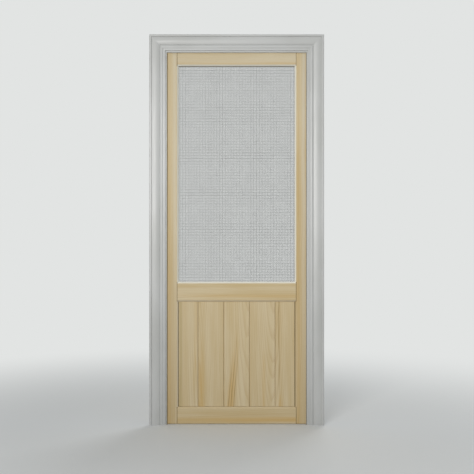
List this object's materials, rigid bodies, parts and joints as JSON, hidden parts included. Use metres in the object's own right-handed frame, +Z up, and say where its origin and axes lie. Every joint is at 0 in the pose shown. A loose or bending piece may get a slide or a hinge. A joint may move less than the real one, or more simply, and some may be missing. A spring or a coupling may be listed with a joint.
{
  "type": "screen door",
  "caption": "Pine half-screen door leaf with a boarded lower panel, hinged in a white jamb with stops and a mitred moulded casing.",
  "frame": {"origin": "on the floor, in the middle of the width and of the jamb's depth", "axes": "+X to the right seen from the casing, +Y through the doorway away from the casing, +Z up"},
  "size_m": [0.945, 0.0705, 2.1145],
  "materials": {
    "pine_frame": "bare planed pine",
    "pine_board": "bare planed pine",
    "pine_bead": "bare planed pine",
    "white_paint": "satin white paint",
    "screen_cloth": "woven wire cloth",
    "zinc_steel": "zinc-plated",
    "bright_nail": "bright steel"
  },
  "bodies": {
    "frame": {"casing_head": "white_paint", "casing_left": "white_paint", "casing_nails": "bright_nail", "casing_right": "white_paint", "frame_hinge_screws": "zinc_steel", "hinge_frame_plates": "zinc_steel", "hinge_pins": "zinc_steel", "jamb_head": "white_paint", "jamb_left": "white_paint", "jamb_right": "white_paint", "jamb_screws": "zinc_steel", "stop_head": "white_paint", "stop_left": "white_paint", "stop_nails": "bright_nail", "stop_right": "white_paint"},
    "leaf": {"bead_brads": "bright_nail", "bottom_rail": "pine_frame", "hinge_leaf_plates": "zinc_steel", "insect_screen": "screen_cloth", "leaf_hinge_screws": "zinc_steel", "mid_rail": "pine_frame", "panel_board_1": "pine_board", "panel_board_2": "pine_board", "panel_board_3": "pine_board", "panel_board_4": "pine_board", "panel_board_5": "pine_board", "screen_bead_bottom": "pine_bead", "screen_bead_left": "pine_bead", "screen_bead_right": "pine_bead", "screen_bead_top": "pine_bead", "stile_hinge": "pine_frame", "stile_lock": "pine_frame", "top_rail": "pine_frame"}
  },
  "joints": [
    {"name": "leaf_swing", "type": "hinge", "parent": "frame", "child": "leaf", "pos_m": [-0.3825, 0.027, 1], "axis": [0, 0, 1], "range_deg": [0, 175]}
  ]
}
